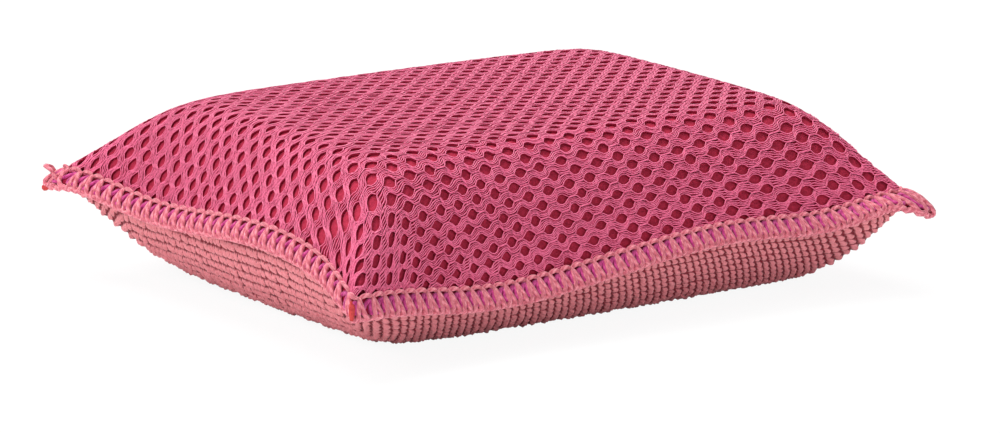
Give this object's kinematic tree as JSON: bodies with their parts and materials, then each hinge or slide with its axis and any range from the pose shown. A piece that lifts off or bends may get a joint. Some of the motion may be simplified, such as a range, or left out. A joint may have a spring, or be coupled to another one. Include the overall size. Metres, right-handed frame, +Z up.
{
  "type": "microfibre cleaning sponge",
  "caption": "Rectangular cushion sponge: foam core sewn between an open mesh top and a ribbed microfibre belly, with an overlocked seam all round.",
  "frame": {"origin": "bottom centre of the sponge, on the surface that it lies on", "axes": "+X along the long sides, +Y along the short sides from the front to the back, +Z up from the microfibre belly to the mesh top"},
  "size_m": [0.1282, 0.1073, 0.0347],
  "materials": {
    "foam": "crimson open-cell foam, matte",
    "mesh": "hot-pink polyester air mesh, slight sheen on the strands",
    "microfibre": "salmon-pink ribbed microfibre pile, matte",
    "seam_thread": "salmon-pink soft polyester thread",
    "edge_yarn": "magenta textured yarn, fluffy"
  },
  "bodies": {
    "root": {"foam_core": "foam", "mesh_cover": "mesh", "microfibre_cover": "microfibre", "needle_thread": "seam_thread", "upper_looper_thread": "seam_thread", "lower_looper_thread": "edge_yarn"}
  },
  "joints": []
}
